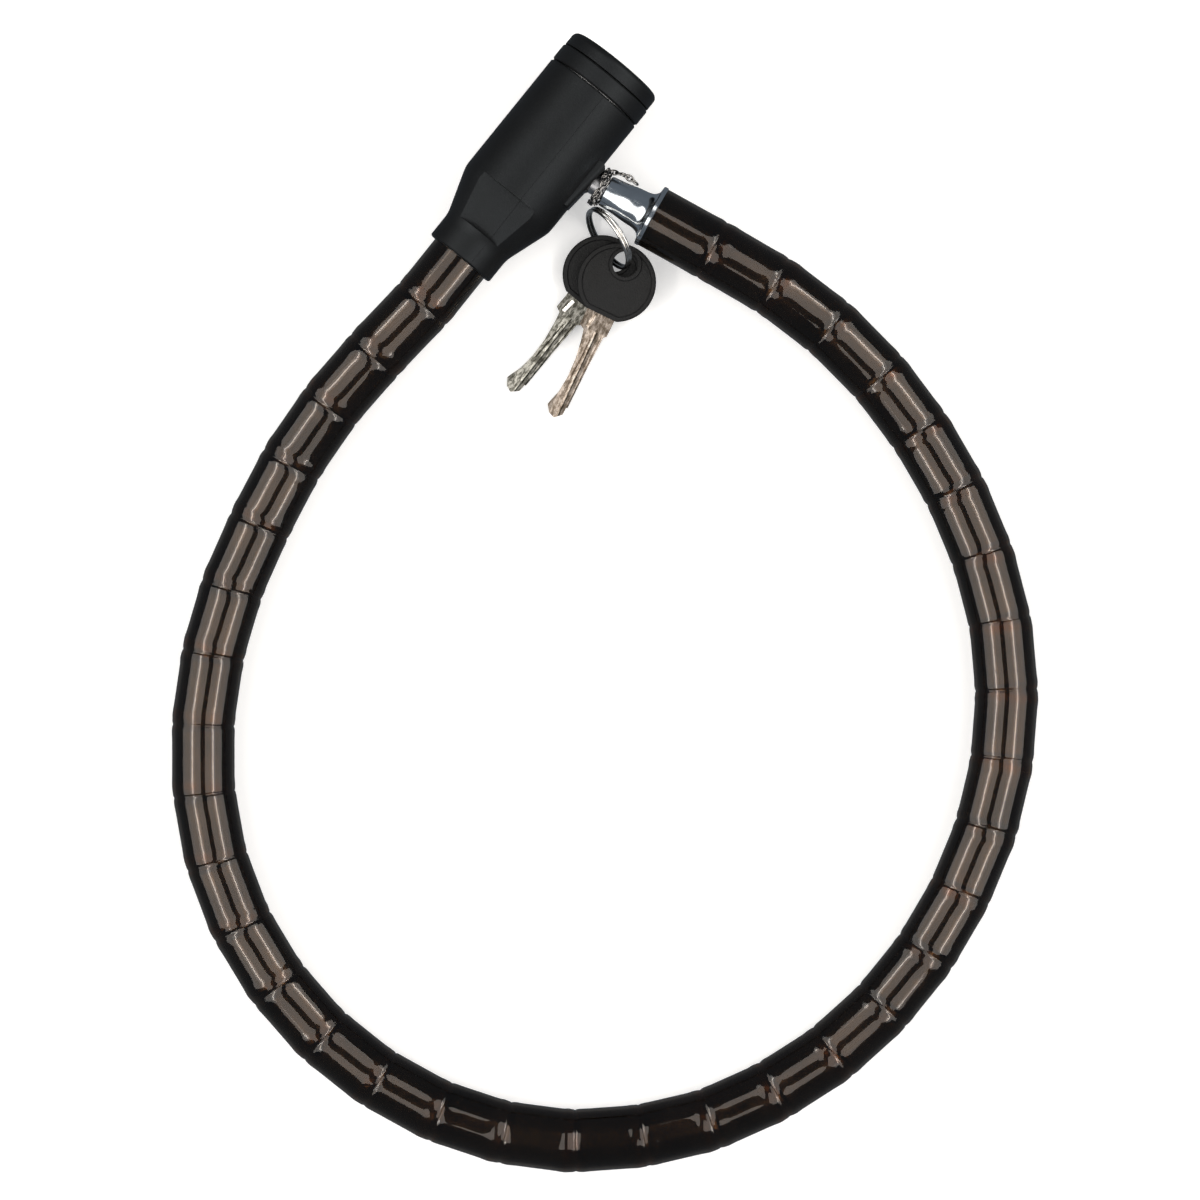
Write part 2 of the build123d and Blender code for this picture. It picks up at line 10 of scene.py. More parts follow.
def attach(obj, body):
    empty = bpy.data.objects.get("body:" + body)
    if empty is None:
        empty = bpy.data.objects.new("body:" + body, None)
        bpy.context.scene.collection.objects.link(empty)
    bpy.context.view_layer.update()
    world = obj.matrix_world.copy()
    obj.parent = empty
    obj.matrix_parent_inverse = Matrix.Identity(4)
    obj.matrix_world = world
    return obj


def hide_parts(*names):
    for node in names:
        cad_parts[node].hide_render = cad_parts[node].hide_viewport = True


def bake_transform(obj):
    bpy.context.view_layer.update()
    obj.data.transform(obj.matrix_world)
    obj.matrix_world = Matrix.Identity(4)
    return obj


# An armoured cable lock with two keys, in metres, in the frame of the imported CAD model.
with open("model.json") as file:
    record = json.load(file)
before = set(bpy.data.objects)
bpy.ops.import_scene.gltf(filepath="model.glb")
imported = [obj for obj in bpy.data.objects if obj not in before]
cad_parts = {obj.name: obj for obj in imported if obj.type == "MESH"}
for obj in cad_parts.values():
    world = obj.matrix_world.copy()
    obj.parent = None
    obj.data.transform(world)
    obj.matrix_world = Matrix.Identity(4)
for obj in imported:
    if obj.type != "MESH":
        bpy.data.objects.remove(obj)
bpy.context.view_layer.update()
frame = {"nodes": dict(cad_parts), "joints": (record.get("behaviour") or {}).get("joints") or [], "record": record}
NODES = frame["nodes"]
JOINTS = {j["name"]: j for j in frame["joints"]}
MM = 0.001
UP = Vector((0, 0, 1))

# --- where things are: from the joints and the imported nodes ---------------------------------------
PITCH = 24.15 * MM
LINK_REACH = PITCH + 0.8 * MM
LINKS = sorted(name for name in NODES if name.startswith("link_"))
BODY_OF = {node: body for body, nodes in frame["record"]["behaviour"]["bodies"].items() for node in nodes}
CAP_FACE = Vector(JOINTS["cap_turn"]["pos_m"])
SHEATH_START = 78.5 * MM
SHEATH_RADIUS = 11.0 * MM
SHEATH_WALL = 1.05 * MM
ROPE_RADIUS = 3.0 * MM
ROPE_START = 54.5 * MM
ROPE_END = 8.5 * MM
FERRULE_GAP = 1.0 * MM


def axes(x, y, z):
    """The rotation whose columns are three unit vectors."""
    return Matrix((x, y, z)).transposed()


def axes_at(origin, ahead):
    """A frame at origin with X ahead, Y level and Z up."""
    x = ahead.normalized()
    y = UP.cross(x).normalized()
    return Matrix.Translation(origin) @ axes(x, y, x.cross(y)).to_4x4()


def vertices(node):
    co = np.empty(3 * len(NODES[node].data.vertices))
    NODES[node].data.vertices.foreach_get("co", co)
    return co.reshape(-1, 3)


def mean_vertex(node):
    return Vector(vertices(node).mean(0))


def ball_centre(node, ahead):
    """Where a link turns on the one before it, from the link's own mesh."""
    co = vertices(node)
    middle = co.mean(0)
    axis = np.linalg.svd(co - middle, full_matrices=False)[2]
    axis = max(axis, key=lambda a: abs(a @ np.array(ahead)))
    axis = axis * np.sign(axis @ np.array(ahead))
    return Vector(middle + axis * (((co - middle) @ axis).max() - LINK_REACH))


MEANS = [mean_vertex(name) for name in LINKS] + [mean_vertex("locking_bolt")]
HINGES = [ball_centre(LINKS[n], (MEANS[n + 1] - MEANS[n]).normalized()) for n in range(1, len(LINKS))]
HINGE_BODIES = [(BODY_OF[a], BODY_OF[b]) for a, b in zip(LINKS, LINKS[1:])]
BOLT_WAY = ((MEANS[-1] - HINGES[-1]) * Vector((1, 1, 0))).normalized()
FLANGE = HINGES[-1] + BOLT_WAY * (PITCH + FERRULE_GAP)
HEAD = axes_at(CAP_FACE, -Vector(JOINTS["cap_turn"]["axis"]))
BOLT = axes_at(FLANGE, BOLT_WAY)

# --- materials ------------------------------------------------------------------------------------
BROAD_DETAIL = 3.0
FINE_DETAIL = 3.0
FINE_ROUGH = 0.6
DARKER = 0.8
NOISE_RANGE = (0.3, 0.7)
PLASTIC_BROAD = 60
PLASTIC_HUE = (1.0, 1.05, 1.12)
PLASTIC_ROUGH = (0.35, 0.47)
PLASTIC_SPECULAR = 0.2
STEEL_BROAD = (90, 4.0)
PVC_BROAD = 45
PVC_SMOKE = ((0.175, 0.128, 0.084), (0.27, 0.205, 0.145))
PVC_RUST = (0.42, 0.17, 0.06)
PVC_ROUGH = 0.02

# the keys' blades: (place across the blade in millimetres, tone) of the painted highlight and shade bands on the
# milled steps, and the stains
BLADE_SPAN = 5 * MM
PAINTED_STEP_BANDS = [
    (-2.5, 0.6), (-2.3, 1.0), (0.1, 1.0), (0.2, 1.5), (0.75, 1.5),
    (0.85, 0.16), (1.25, 0.18), (1.4, 0.46), (2.1, 0.46), (2.3, 1.1),
]
MILLED_FROM = 25.5 * MM
MILLED_EDGE = 0.4 * MM
UNMILLED_TONE = 0.62
STAIN_STRETCH = (0.4, 1, 1)
STAIN_NOISE = {"Scale": 900, "Detail": 7, "Roughness": 0.7, "Distortion": 0.3}
STAIN_STEPS = (0.34, 0.46, 0.6)
STAIN_DARKEST = 0.45
STAIN_ROUGH = ((0.38, 0.38), (0.62, 0.27))
STAIN_DEPTH = 0.1 * MM


def opaque(colour):
    return tuple(colour) + (1,)


def grey(tone):
    return (tone, tone, tone, 1)


def material(name, **inputs):
    m = bpy.data.materials.new(name)
    m.use_nodes = True
    shader = m.node_tree.nodes["Principled BSDF"]
    for key, value in inputs.items():
        shader.inputs[key.replace("_", " ")].default_value = value
    return m, m.node_tree, shader


def object_coords(nt):
    return nt.nodes.new("ShaderNodeTexCoord").outputs["Object"]


def noise_from(nt, vector, settings):
    tex = nt.nodes.new("ShaderNodeTexNoise")
    for key, value in settings.items():
        tex.inputs[key].default_value = value
    nt.links.new(vector, tex.inputs["Vector"])
    return tex.outputs["Fac"]


def noise_tex(nt, scale, detail, rough=0.5):
    return noise_from(nt, object_coords(nt), {"Scale": scale, "Detail": detail, "Roughness": rough})


def ramp(nt, fac, stops):
    """A colour by a factor, from (position, colour) stops."""
    node = nt.nodes.new("ShaderNodeValToRGB")
    elements = node.color_ramp.elements
    elements[0].position, elements[0].color = stops[0]
    elements[1].position, elements[1].color = stops[-1]
    for position, colour in stops[1:-1]:
        elements.new(position).color = colour
    nt.links.new(fac, node.inputs["Fac"])
    return node.outputs["Color"]


def between(nt, noise_fac, low, high):
    """A colour that a noise carries from low to high."""
    return ramp(nt, noise_fac, list(zip(NOISE_RANGE, (low, high))))


def share(nt, value, low, high):
    """A value mapped from low to high onto 0 to 1."""
    node = nt.nodes.new("ShaderNodeMapRange")
    node.inputs["From Min"].default_value = low
    node.inputs["From Max"].default_value = high
    nt.links.new(value, node.inputs["Value"])
    return node.outputs["Result"]


def mix(nt, factor, a, b, blend="MIX"):
    """Two colours mixed; each argument is a socket or a plain value."""
    node = nt.nodes.new("ShaderNodeMix")
    node.data_type = "RGBA"
    node.blend_type = blend
    sockets = [node.inputs["Factor"]] + [i for i in node.inputs if i.type == "RGBA"]
    for socket, value in zip(sockets, (factor, a, b)):
        if isinstance(value, bpy.types.NodeSocket):
            nt.links.new(value, socket)
        else:
            socket.default_value = value
    return next(o for o in node.outputs if o.type == "RGBA")


def bump(nt, shader, height, distance):
    node = nt.nodes.new("ShaderNodeBump")
    node.inputs["Strength"].default_value = 1.0
    node.inputs["Distance"].default_value = distance
    nt.links.new(height, node.inputs["Height"])
    nt.links.new(node.outputs["Normal"], shader.inputs["Normal"])


def black_plastic(name, tone, grain, depth, tint):
    """Moulded black plastic with a fine grain, slightly blue where it is lighter."""
    m, nt, s = material(name)
    fine = noise_tex(nt, 1.0 / grain, FINE_DETAIL, FINE_ROUGH)
    broad = noise_tex(nt, PLASTIC_BROAD, BROAD_DETAIL)
    light = opaque(tone * c for c in PLASTIC_HUE)
    nt.links.new(between(nt, broad, grey(tone * DARKER), light), s.inputs["Base Color"])
    nt.links.new(between(nt, fine, *(grey(r) for r in PLASTIC_ROUGH)), s.inputs["Roughness"])
    s.inputs["Specular Tint"].default_value = opaque(tint)
    s.inputs["Specular IOR Level"].default_value = PLASTIC_SPECULAR
    bump(nt, s, fine, depth)
    return m


def metal(name, colour, rough, scratch=900, spread=0.1, depth=0.03 * MM):
    """Plain metal with broad changes of tone and fine changes of gloss."""
    m, nt, s = material(name, Metallic=1.0)
    broad = noise_tex(nt, *STEEL_BROAD)
    fine = noise_tex(nt, scratch, FINE_DETAIL, FINE_ROUGH)
    tone = between(nt, broad, opaque(c * DARKER for c in colour), opaque(colour))
    nt.links.new(tone, s.inputs["Base Color"])
    nt.links.new(between(nt, fine, grey(rough - spread / 2), grey(rough + spread)), s.inputs["Roughness"])
    if depth:
        bump(nt, s, fine, depth)
    return m


def stained_nickel_painted_steps(name, centre, heading, low, high):
    """Nickel plate with stains, and painted highlight and shade bands for the milled steps, along a blade that
    leaves centre at a heading.
    """
    m, nt, s = material(name, Metallic=1.0)
    place = nt.nodes.new("ShaderNodeMapping")
    place.vector_type = "TEXTURE"
    place.inputs["Location"].default_value = centre
    place.inputs["Rotation"].default_value = (0, 0, heading)
    nt.links.new(object_coords(nt), place.inputs["Vector"])
    stretch = nt.nodes.new("ShaderNodeMapping")
    stretch.inputs["Scale"].default_value = STAIN_STRETCH
    nt.links.new(place.outputs["Vector"], stretch.inputs["Vector"])
    stain = noise_from(nt, stretch.outputs["Vector"], STAIN_NOISE)
    tones = (opaque(STAIN_DARKEST * c for c in low), opaque(low), opaque(high))
    plate = ramp(nt, stain, list(zip(STAIN_STEPS, tones)))
    split = nt.nodes.new("ShaderNodeSeparateXYZ")
    nt.links.new(place.outputs["Vector"], split.inputs["Vector"])
    across = share(nt, split.outputs["Y"], -BLADE_SPAN, BLADE_SPAN)
    # painted highlight and shade: bright and dark bands across the blade for the milled steps' edges and grooves,
    # multiplied into the plate colour; up to MILLED_FROM one flat tone of UNMILLED_TONE instead
    steps = ramp(nt, across, [(0.5 + y * MM / (2 * BLADE_SPAN), grey(tone)) for y, tone in PAINTED_STEP_BANDS])
    milled = share(nt, split.outputs["X"], MILLED_FROM, MILLED_FROM + MILLED_EDGE)
    painted_steps = mix(nt, milled, grey(UNMILLED_TONE), steps)
    nt.links.new(mix(nt, 1.0, plate, painted_steps, "MULTIPLY"), s.inputs["Base Color"])
    nt.links.new(ramp(nt, stain, [(at, grey(rough)) for at, rough in STAIN_ROUGH]), s.inputs["Roughness"])
    bump(nt, s, stain, STAIN_DEPTH)
    return m


def pvc(name):
    """Smoky clear PVC, tinted orange-brown where the joint's rust and grease show through."""
    m, nt, s = material(name, Transmission_Weight=1.0, IOR=1.5, Roughness=PVC_ROUGH)
    smoke = between(nt, noise_tex(nt, PVC_BROAD, BROAD_DETAIL), *(opaque(c) for c in PVC_SMOKE))
    rust = nt.nodes.new("ShaderNodeAttribute")
    rust.attribute_name = "joint"
    nt.links.new(mix(nt, rust.outputs["Fac"], smoke, opaque(PVC_RUST)), s.inputs["Base Color"])
    return m


MATERIALS = {
    "armour_steel": metal("armour_steel", (0.46, 0.42, 0.38), 0.22, scratch=350, spread=0.04, depth=0),
    "sheath_pvc": pvc("sheath_pvc"),
    "rope_steel": metal("rope_steel", (0.62, 0.61, 0.60), 0.3),
    "cover_plastic": black_plastic("cover_plastic", 0.008, 0.4 * MM, 0.08 * MM, (0.84, 0.93, 1.0)),
    "core_zinc": metal("core_zinc", (0.55, 0.55, 0.56), 0.4),
    "cylinder_brass": metal("cylinder_brass", (0.80, 0.62, 0.32), 0.25),
    "ferrule_chrome": metal("ferrule_chrome", (0.80, 0.85, 0.90), 0.13, scratch=300, spread=0.02, depth=0),
    "bolt_steel": metal("bolt_steel", (0.52, 0.52, 0.54), 0.3),
    "key_nickel": metal("key_nickel", (0.74, 0.72, 0.69), 0.16, spread=0.06, depth=0),
    "chain_steel": metal("chain_steel", (0.30, 0.29, 0.28), 0.14, spread=0.05, depth=0),
    "bow_plastic": black_plastic("bow_plastic", 0.009, 0.6 * MM, 0.22 * MM, (0.95, 0.95, 0.95)),
}


def dress(obj, material_name):
    obj.data.materials.clear()
    obj.data.materials.append(MATERIALS[material_name])
    return obj


# --- meshes ---------------------------------------------------------------------------------------
def new_piece(name, verts, faces, smooth=True):
    mesh = bpy.data.meshes.new(name)
    mesh.from_pydata([tuple(v) for v in verts], [], faces)
    mesh.polygons.foreach_set("use_smooth", [smooth] * len(mesh.polygons))
    mesh.update()
    obj = bpy.data.objects.new(name, mesh)
    bpy.context.scene.collection.objects.link(obj)
    return obj


def grid_faces(rows, columns, flip=False):
    """Quads between successive closed rings of vertices."""
    faces = []
    for r in range(rows - 1):
        for c in range(columns):
            d = (c + 1) % columns
            quad = [r * columns + c, r * columns + d, (r + 1) * columns + d, (r + 1) * columns + c]
            faces.append(quad[::-1] if flip else quad)
    return faces


def add_mesh(verts, faces, more_verts, more_faces):
    """Adds one mesh's vertices and faces to another's."""
    base = len(verts)
    faces += [[i + base for i in face] for face in more_faces]
    verts += more_verts


# --- the cable ------------------------------------------------------------------------------------
BEND_REACH = 4.0 * MM
STEP_FAR = 2.2 * MM
STEP_NEAR = 0.35 * MM
FLOOR_GAP = 0.01 * MM
END_GAP = 0.02 * MM
SKIN_INSET = 0.03 * MM
SHEATH_SIDES = 72
LINING_SIDES = 48
ROPE_SIDES = 20
WOBBLE = 0.06 * MM
WOBBLE_WAVES = 22
SWELL_SEED = 100
TINT_SEED = 500
TINT_STRENGTH = (0.35, 1.0)
TINT_REACH = 0.25 * MM
TINT_WAVES = 160
TINT_MEAN = 0.45
TINT_PATCHES = 0.9

# the sheath's shape past a joint, in millimetres: each feature's size (least, most) and (place, width)
LIP_HEIGHT = (0.10, 0.22)
LIP_SHAPE = (-1.7, 1.6)
DIP_DEPTH = (0.24, 0.31)
DIP_SHAPE = (1.6, 0.55)
FAR_LIP_SHARE = (0.5, 1.1)
FAR_LIP_SHAPE = (4.2, 1.3)
SWELL_SHIFT = (-0.4, 0.4)
SWELL_INSET = 0.08


def hinge_path(before, hinge, after):
    """Places, directions and distances past the hinge, from before to after on a tangent arc."""
    entry, leaving = (hinge - before).normalized(), (after - hinge).normalized()
    arc_start, arc_end = hinge - entry * BEND_REACH, hinge + leaving * BEND_REACH
    path = []
    first = (arc_start - before).length
    count = max(2, round(first / STEP_FAR))
    for n in range(count):
        path.append((before.lerp(arc_start, n / count), entry, first * n / count - first - BEND_REACH))
    count = round(2 * BEND_REACH / STEP_NEAR)
    for n in range(count + 1):
        t = n / count
        place = (arc_start.lerp(hinge, t)).lerp(hinge.lerp(arc_end, t), t)
        path.append((place, entry.slerp(leaving, t), (2 * t - 1) * BEND_REACH))
    last = (after - arc_end).length
    count = max(2, round(last / STEP_FAR))
    for n in range(1, count + 1):
        path.append((arc_end.lerp(after, n / count), leaving, BEND_REACH + last * n / count))
    return path


def bell(s, place, width):
    return math.exp(-((s - place) / width) ** 2)


def swell_past(seed):
    """How far the sheath stands proud past a joint: over the mouth's lip, into the gap and out again."""
    rng = random.Random(seed)
    lip = rng.uniform(*LIP_HEIGHT)
    dip = rng.uniform(*DIP_DEPTH)
    shift = rng.uniform(*SWELL_SHIFT)
    far_lip = rng.uniform(*FAR_LIP_SHARE) * lip

    def swell(distance):
        s = distance / MM - shift
        height = lip * bell(s, *LIP_SHAPE) - dip * bell(s, *DIP_SHAPE) + far_lip * bell(s, *FAR_LIP_SHAPE)
        return MM * (height - SWELL_INSET)

    return swell


def skin(path, radius, around, swell=None, flip=False, wobble=0.0):
    """A tube along a path, kept off the floor."""
    verts = []
    for place, ahead, distance in path:
        side = UP.cross(ahead).normalized()
        top = ahead.cross(side)
        ring = radius + (swell(distance) if swell else 0.0)
        for k in range(around):
            a = 2 * math.pi * k / around
            out = side * math.cos(a) + top * math.sin(a)
            r = ring
            if wobble:
                r += wobble * noise.noise((place + out * radius) * WOBBLE_WAVES)
            point = place + out * r
            point.z = max(point.z, FLOOR_GAP)
            verts.append(point)
    return verts, grid_faces(len(path), around, flip)


def tint(obj, hinge, strength):
    """Marks how close each point of the sheath is to the joint, patchily, for its rust tint."""
    layer = obj.data.attributes.new("joint", "FLOAT", "POINT")
    values = []
    for v in obj.data.vertices:
        near = bell((v.co - hinge).length, SHEATH_RADIUS, TINT_REACH)
        patchy = TINT_MEAN + TINT_PATCHES * noise.noise(v.co * TINT_WAVES)
        values.append(min(1.0, max(0.0, strength * near * patchy)))
    layer.data.foreach_set("value", values)


def cable_piece(name, n, path, walls, slot_name):
    """One stretch of the sheath or rope, over hinge n, attached to its body when both sides ride one body, else
    baked in place.
    """
    verts, faces = [], []
    for wall in walls:
        add_mesh(verts, faces, *skin(path, *wall))
    obj = dress(new_piece(f"{name}_{n + 1:02d}", verts, faces), slot_name)
    hinge = HINGES[n]
    if name == "sheath":
        tint(obj, hinge, random.Random(TINT_SEED + n).uniform(*TINT_STRENGTH))
    before, after = HINGE_BODIES[n]
    if before == after:
        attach(obj, before)
    else:
        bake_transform(obj)
    return obj


def make_cable():
    sheath_start = HEAD @ Vector((SHEATH_START, 0, 0))
    sheath_end = FLANGE - BOLT_WAY * END_GAP
    rope_start = HEAD @ Vector((ROPE_START, 0, 0))
    rope_end = FLANGE + BOLT_WAY * ROPE_END
    last = len(HINGES) - 1
    for n, hinge in enumerate(HINGES):
        before = (HINGES[n - 1] + hinge) / 2 if n else sheath_start
        after = (hinge + HINGES[n + 1]) / 2 if n < last else sheath_end
        swell = swell_past(SWELL_SEED + n)
        outside = (SHEATH_RADIUS - SKIN_INSET, SHEATH_SIDES, swell, False, WOBBLE)
        inside = (SHEATH_RADIUS - SHEATH_WALL, LINING_SIDES, swell, True)
        sheath = cable_piece("sheath", n, hinge_path(before, hinge, after), (outside, inside), "sheath_pvc")
        rope_path = hinge_path(before if n else rope_start, hinge, after if n < last else rope_end)
        rope = cable_piece("rope", n, rope_path, [(ROPE_RADIUS, ROPE_SIDES)], "rope_steel")
        if n == 0:
            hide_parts("sheath")
            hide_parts("wire_rope")


make_cable()

# --- the key chain --------------------------------------------------------------------------------
CHAIN_PLACE = 20.4 * MM
CHAIN_RADIUS = 5.5 * MM
CHAIN_WEAVE = 0.7 * MM
CHAIN_WAVES = 2.3
CHAIN_DRIFT = 0.9 * MM
CHAIN_GROWTH = 0.9 * MM
CHAIN_FROM = -150
CHAIN_SWEEP = 700
CHAIN_STEPS = 199
TAIL_START = 21.3 * MM
TAIL_END = 10.5 * MM
TAIL_RADIUS = 6.4 * MM
TAIL_ARCH = 0.9 * MM
TAIL_RISE = 1.1 * MM
TAIL_SWING = math.radians(10)
TAIL_WAVES = 3
TAIL_STEPS = 59
CHAIN_PITCH = 2.0 * MM
CHAIN_LINK = (1.55 * MM, 0.95 * MM)
CHAIN_WIRE = 0.33 * MM
LOOP_STEPS = 16
WIRE_SIDES = 6
CHAIN_SEED = 7
LINK_TURN = 90
LINK_LAY = 34
LINK_TWIST = 18
LINK_JITTER = 0.12 * MM


def wire_loop(matrix, half_length, half_width, wire):
    """One closed oval of wire."""
    verts = []
    for k in range(LOOP_STEPS):
        a = 2 * math.pi * k / LOOP_STEPS
        centre = Vector((half_length * math.cos(a), half_width * math.sin(a), 0))
        out = Vector((math.cos(a), math.sin(a), 0))
        for c in range(WIRE_SIDES):
            b = 2 * math.pi * c / WIRE_SIDES
            verts.append(matrix @ (centre + (out * math.cos(b) + UP * math.sin(b)) * wire))
    faces = grid_faces(LOOP_STEPS, WIRE_SIDES)
    last = (LOOP_STEPS - 1) * WIRE_SIDES
    for c in range(WIRE_SIDES):
        d = (c + 1) % WIRE_SIDES
        faces.append([last + c, last + d, d, c])
    return verts, faces


def about_bolt(x, r, a):
    return Vector((x, r * math.cos(a), r * math.sin(a)))


def chain_line():
    """The chain's run in the bolt's frame: twice about the neck, then a tail along the ferrule."""
    points = []
    for n in range(CHAIN_STEPS + 1):
        turn = n / CHAIN_STEPS
        a = math.radians(CHAIN_FROM + CHAIN_SWEEP * turn)
        x = CHAIN_PLACE + CHAIN_WEAVE * math.sin(CHAIN_WAVES * a) + CHAIN_DRIFT * turn
        points.append(about_bolt(x, CHAIN_RADIUS + CHAIN_GROWTH * turn, a))
    a = math.radians(CHAIN_FROM + CHAIN_SWEEP)
    for n in range(1, TAIL_STEPS + 1):
        t = n / TAIL_STEPS
        x = TAIL_START + (TAIL_END - TAIL_START) * t
        r = TAIL_RADIUS + TAIL_ARCH * math.sin(math.pi * t) + TAIL_RISE * t
        points.append(about_bolt(x, r, a - TAIL_SWING * math.sin(TAIL_WAVES * t)))
    return points


def make_chain():
    rng = random.Random(CHAIN_SEED)
    points = chain_line()
    verts, faces = [], []
    walked, n = 0.0, 0
    for a, b in zip(points, points[1:]):
        walked += (b - a).length
        if walked < n * CHAIN_PITCH:
            continue
        ahead = (b - a).normalized()
        side = ahead.orthogonal().normalized()
        along = axes(ahead, side, ahead.cross(side)).to_4x4()
        twist = math.radians(LINK_TURN * (n % 2) + LINK_LAY * n + rng.uniform(-LINK_TWIST, LINK_TWIST))
        jitter = Vector([rng.uniform(-LINK_JITTER, LINK_JITTER) for _ in range(3)])
        matrix = BOLT @ Matrix.Translation(a + jitter) @ along @ Matrix.Rotation(twist, 4, "X")
        add_mesh(verts, faces, *wire_loop(matrix, *CHAIN_LINK, CHAIN_WIRE))
        n += 1
    chain = dress(new_piece("twisted_chain", verts, faces), "chain_steel")
    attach(chain, BODY_OF["key_chain"])
    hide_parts("key_chain")


make_chain()

# --- the cover's parting line ---------------------------------------------------------------------
RAY_HEIGHT = 55.5 * MM
SEAM_OFFSET = 4.8 * MM
SEAM_WIDTH = 0.14 * MM
SEAM_HEIGHT = 0.08 * MM
SEAM_STEPS = 299
SEAM_START = 13.3
SEAM_END = 85.6
SEAM_LEAST_UP = 0.5
SEAM_STEP_UP = 0.5 * MM
SEAM_LEAST_POINTS = 4


def ridge(name, points, ups, width, height, slot_name, body):
    """A fine raised line along points, with a triangular section sunk into the surface below."""
    verts, faces = [], []
    for n, (point, up) in enumerate(zip(points, ups)):
        ahead = (points[min(n + 1, len(points) - 1)] - points[max(n - 1, 0)]).normalized()
        side = ahead.cross(up).normalized()
        foot = point - up * height
        verts += [foot - side * width, point + up * height, foot + side * width]
    for n in range(len(points) - 1):
        for c in range(3):
            d = (c + 1) % 3
            faces.append([3 * n + c, 3 * n + d, 3 * n + 3 + d, 3 * n + 3 + c])
    end = 3 * (len(points) - 1)
    faces += [[2, 1, 0], [end, end + 1, end + 2]]
    obj = dress(new_piece(name, verts, faces, smooth=False), slot_name)
    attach(obj, body)
    return obj


def make_seam():
    """The parting line on the cover, in runs that break where the surface steps."""
    points, ups = [], []
    for n in range(SEAM_STEPS + 1):
        x = (SEAM_START + (SEAM_END - SEAM_START) * n / SEAM_STEPS) * MM
        above = HEAD @ Vector((x, SEAM_OFFSET, RAY_HEIGHT))
        hit, point, normal, _ = NODES["lock_cover"].ray_cast(above, -UP)
        if hit and normal.z > SEAM_LEAST_UP:
            points.append(point)
            ups.append(normal)
    runs = [[0]]
    for n in range(1, len(points)):
        if abs(points[n].z - points[n - 1].z) > SEAM_STEP_UP:
            runs.append([])
        runs[-1].append(n)
    for k, run in enumerate(runs):
        if len(run) > SEAM_LEAST_POINTS:
            ridge(f"parting_line_{k + 1}", [points[n] for n in run], [ups[n] for n in run],
                  SEAM_WIDTH, SEAM_HEIGHT, "cover_plastic", BODY_OF["lock_cover"])


make_seam()

# --- inside the lock: a plain copy of the latch spring, and wafers a little inside the barrel's bore ---
WAFER_REACH = 6.12 * MM


def copy_of(node, name):
    obj = bpy.data.objects.new(name, NODES[node].data.copy())
    bpy.context.scene.collection.objects.link(obj)
    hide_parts(node)
    return obj


def make_latch_spring():
    coil = dress(copy_of("latch_spring", "latch_coil"), "rope_steel")
    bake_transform(coil)


def make_wafers():
    wafers = dress(copy_of("wafers", "wafer_set"), "cylinder_brass")
    back = HEAD.inverted()
    for v in wafers.data.vertices:
        p = back @ v.co
        reach = math.hypot(p.y, p.z)
        if reach > WAFER_REACH:
            p.y, p.z = p.y * WAFER_REACH / reach, p.z * WAFER_REACH / reach
            v.co = HEAD @ p
    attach(wafers, BODY_OF["wafers"])


make_latch_spring()
make_wafers()

# --- the keys: raised lines, and blades of stained nickel with painted highlight and shade bands on the milled steps ---
BOW_HALF = 1.8 * MM
HOLE_TO_BOW = 7.0 * MM
RIM_RADIUS = 12.15 * MM
RIM_EDGE = 17.8 * MM
RIM_STEPS = 144
LIP_RADIUS = 5.7 * MM
LIP_STEPS = 72
BEAD = (0.16 * MM, 0.12 * MM)
BLADE_HALF = 1.0 * MM
RIB_HEIGHT = 0.22 * MM
RIB_STEPS = 20
# the ribs in millimetres: start and end along the blade, place across it and half width
RIBS = [(20.4, 25.3, -2.2, 1.2), (26.5, 54.0, 3.1, 0.42), (29.0, 44.0, -0.1, 0.28)]
RIB_SLANT = 0.03
BRIGHT_RIB = ("back", 0)
KEYS = {
    "front": ((0.27, 0.215, 0.165), (0.78, 0.67, 0.58)),
    "back": ((0.15, 0.145, 0.12), (0.68, 0.66, 0.59)),
}


def key_matrix(key):
    """A key's own frame: its ring hole's centre, X along the blade, Z as its joint's axis."""
    joint = JOINTS[f"key_swing_{key}"]
    up = Vector(joint["axis"]).normalized()
    up = up if up.z > 0 else -up
    centre = Vector(joint["pos_m"])
    ahead = mean_vertex(f"key_blade_{key}") - centre
    ahead = (ahead - up * ahead.dot(up)).normalized()
    return Matrix.Translation(centre) @ axes(ahead, up.cross(ahead), up).to_4x4()


def circle(steps):
    """Directions once round, the first one repeated at the end."""
    for n in range(steps + 1):
        a = 2 * math.pi * n / steps
        yield math.cos(a), math.sin(a)


def rib_line(start, end, across):
    """Points along a rib, which slants a little across the blade."""
    for n in range(RIB_STEPS + 1):
        x = start + (end - start) * n / RIB_STEPS
        yield Vector((x * MM, (across - RIB_SLANT * n) * MM, BLADE_HALF))


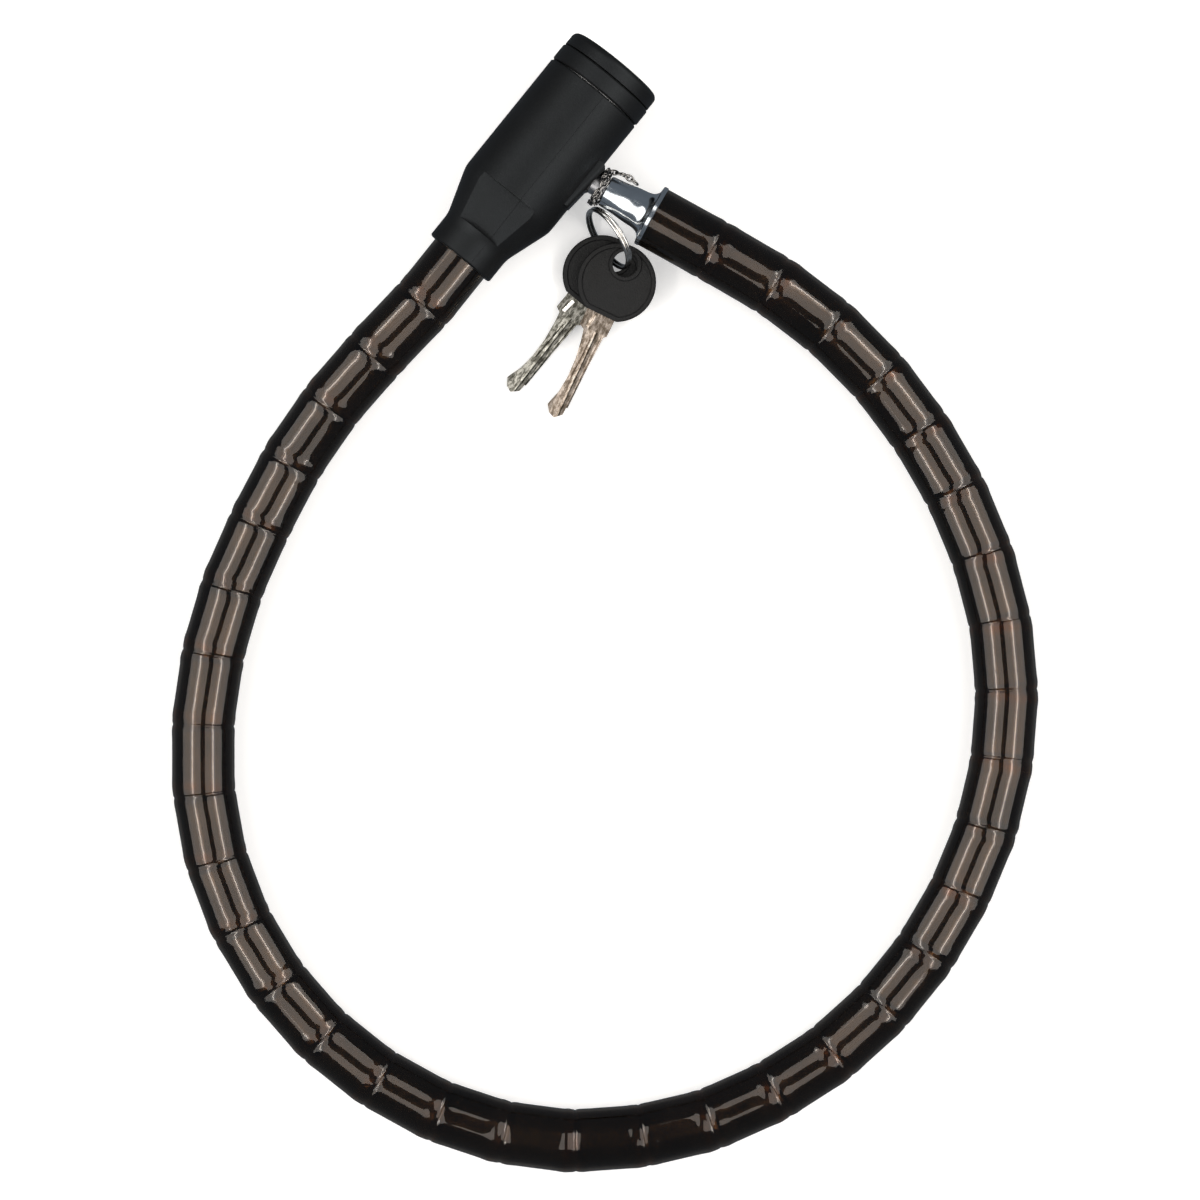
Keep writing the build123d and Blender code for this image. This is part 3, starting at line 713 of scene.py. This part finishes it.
def make_key(key, low, high):
    matrix = key_matrix(key)
    turn = matrix.to_3x3()
    up = turn @ UP
    ahead = turn @ Vector((1, 0, 0))
    blade_nickel = f"key_nickel_{key}"
    heading = math.atan2(ahead.y, ahead.x)
    MATERIALS[blade_nickel] = stained_nickel_painted_steps(blade_nickel, matrix.translation, heading, low, high)
    body = BODY_OF[f"key_bow_{key}"]
    # the bow's rim has a straight run where the blade comes out
    rim = [matrix @ Vector((min(HOLE_TO_BOW + RIM_RADIUS * x, RIM_EDGE), RIM_RADIUS * y, BOW_HALF))
           for x, y in circle(RIM_STEPS)]
    ridge(f"bow_rim_{key}", rim, [up] * len(rim), *BEAD, "bow_plastic", body)
    lip = [matrix @ Vector((LIP_RADIUS * x, LIP_RADIUS * y, BOW_HALF)) for x, y in circle(LIP_STEPS)]
    ridge(f"bow_lip_{key}", lip, [up] * len(lip), *BEAD, "bow_plastic", body)
    for k, (start, end, across, width) in enumerate(RIBS):
        rib = [matrix @ p for p in rib_line(start, end, across)]
        name = f"blade_rib_{key}_{k + 1}"
        obj = ridge(name, rib, [up] * len(rib), width * MM, RIB_HEIGHT, "key_nickel", body)
        if (key, k) != BRIGHT_RIB:
            dress(obj, blade_nickel)


for key, tones in KEYS.items():
    make_key(key, *tones)

BLADE_MATERIALS = {f"key_blade_{key}": f"key_nickel_{key}" for key in KEYS}
for entry in frame["record"]["subparts"]:
    node = entry["node"]
    dress(NODES[node], BLADE_MATERIALS.get(node, entry["material_slot"]))

# --- floor, lights and camera ---------------------------------------------------------------------
FLOOR_SIZE = 6
FLOOR_GLOW = 0.36
FLOOR_ROUGH = 0.9
FLOOR_NOISE = (3, 2.0)
FLOOR_TONES = (0.86, 0.89)
LIGHT_RADIUS = 3.0
LIGHT_LENGTH = 3.3
LIGHT_COLOUR = (1.0, 0.96, 0.91)
# the lights on each side: from and to in degrees from overhead, and radiance
LIGHT_BANDS = [(8, 76, 1.65), (31, 47, 1.2), (36.5, 40.5, 7.0)]
ROOM_COLOUR = (0.78, 0.88, 1.0)
ROOM_STRENGTH = 0.14
CAMERA_FROM_CAP = (-5.77 * MM, -185.67 * MM)
CAMERA_HEIGHT = 1.6
SENSOR_WIDTH = 36
LENS = 136.9


def make_stage():
    bpy.ops.mesh.primitive_plane_add(size=FLOOR_SIZE, location=(0, 0, 0))
    floor = bpy.context.object
    floor.name = "floor"
    glow = {"Emission_Color": grey(1), "Emission_Strength": FLOOR_GLOW}
    m, nt, s = material("floor_paper", Roughness=FLOOR_ROUGH, **glow)
    tones = between(nt, noise_tex(nt, *FLOOR_NOISE), *(grey(tone) for tone in FLOOR_TONES))
    nt.links.new(tones, s.inputs["Base Color"])
    floor.data.materials.append(m)
    floor.visible_glossy = False
    floor.visible_diffuse = False
    floor.visible_transmission = False


def overhead(degrees):
    """The place of a light at an angle from overhead, across X."""
    a = math.radians(degrees)
    return Vector((math.sin(a), 0, math.cos(a))) * LIGHT_RADIUS


def area_light(name, angle_from, angle_to, radiance):
    """A long light along Y that spans two angles from overhead and faces the origin."""
    a, b = overhead(angle_from), overhead(angle_to)
    data = bpy.data.lights.new(name, "AREA")
    data.shape = "RECTANGLE"
    data.size, data.size_y = (b - a).length, LIGHT_LENGTH
    data.spread = math.radians(180)
    data.energy = radiance * math.pi * data.size * data.size_y
    data.color = LIGHT_COLOUR
    light = bpy.data.objects.new(name, data)
    bpy.context.scene.collection.objects.link(light)
    light.location = (a + b) / 2
    away = light.location.normalized()
    x = Vector((0, 1, 0)).cross(away).normalized()
    light.rotation_euler = axes(x, away.cross(x), away).to_euler()


def make_light():
    for side in (-1, 1):
        for k, (near, far, radiance) in enumerate(LIGHT_BANDS):
            area_light(f"softbox_{side}_{k}", side * near, side * far, radiance)
    world = bpy.data.worlds.new("room")
    bpy.context.scene.world = world
    world.use_nodes = True
    background = world.node_tree.nodes["Background"]
    background.inputs["Color"].default_value = opaque(ROOM_COLOUR)
    background.inputs["Strength"].default_value = ROOM_STRENGTH


def make_camera():
    data = bpy.data.cameras.new("camera")
    data.sensor_width = SENSOR_WIDTH
    data.lens = LENS
    camera = bpy.data.objects.new("camera", data)
    bpy.context.scene.collection.objects.link(camera)
    aside, below = CAMERA_FROM_CAP
    camera.location = (CAP_FACE.x + aside, CAP_FACE.y + below, CAMERA_HEIGHT)
    bpy.context.scene.camera = camera


make_stage()
make_light()
make_camera()
bpy.context.scene.view_settings.view_transform = "Standard"
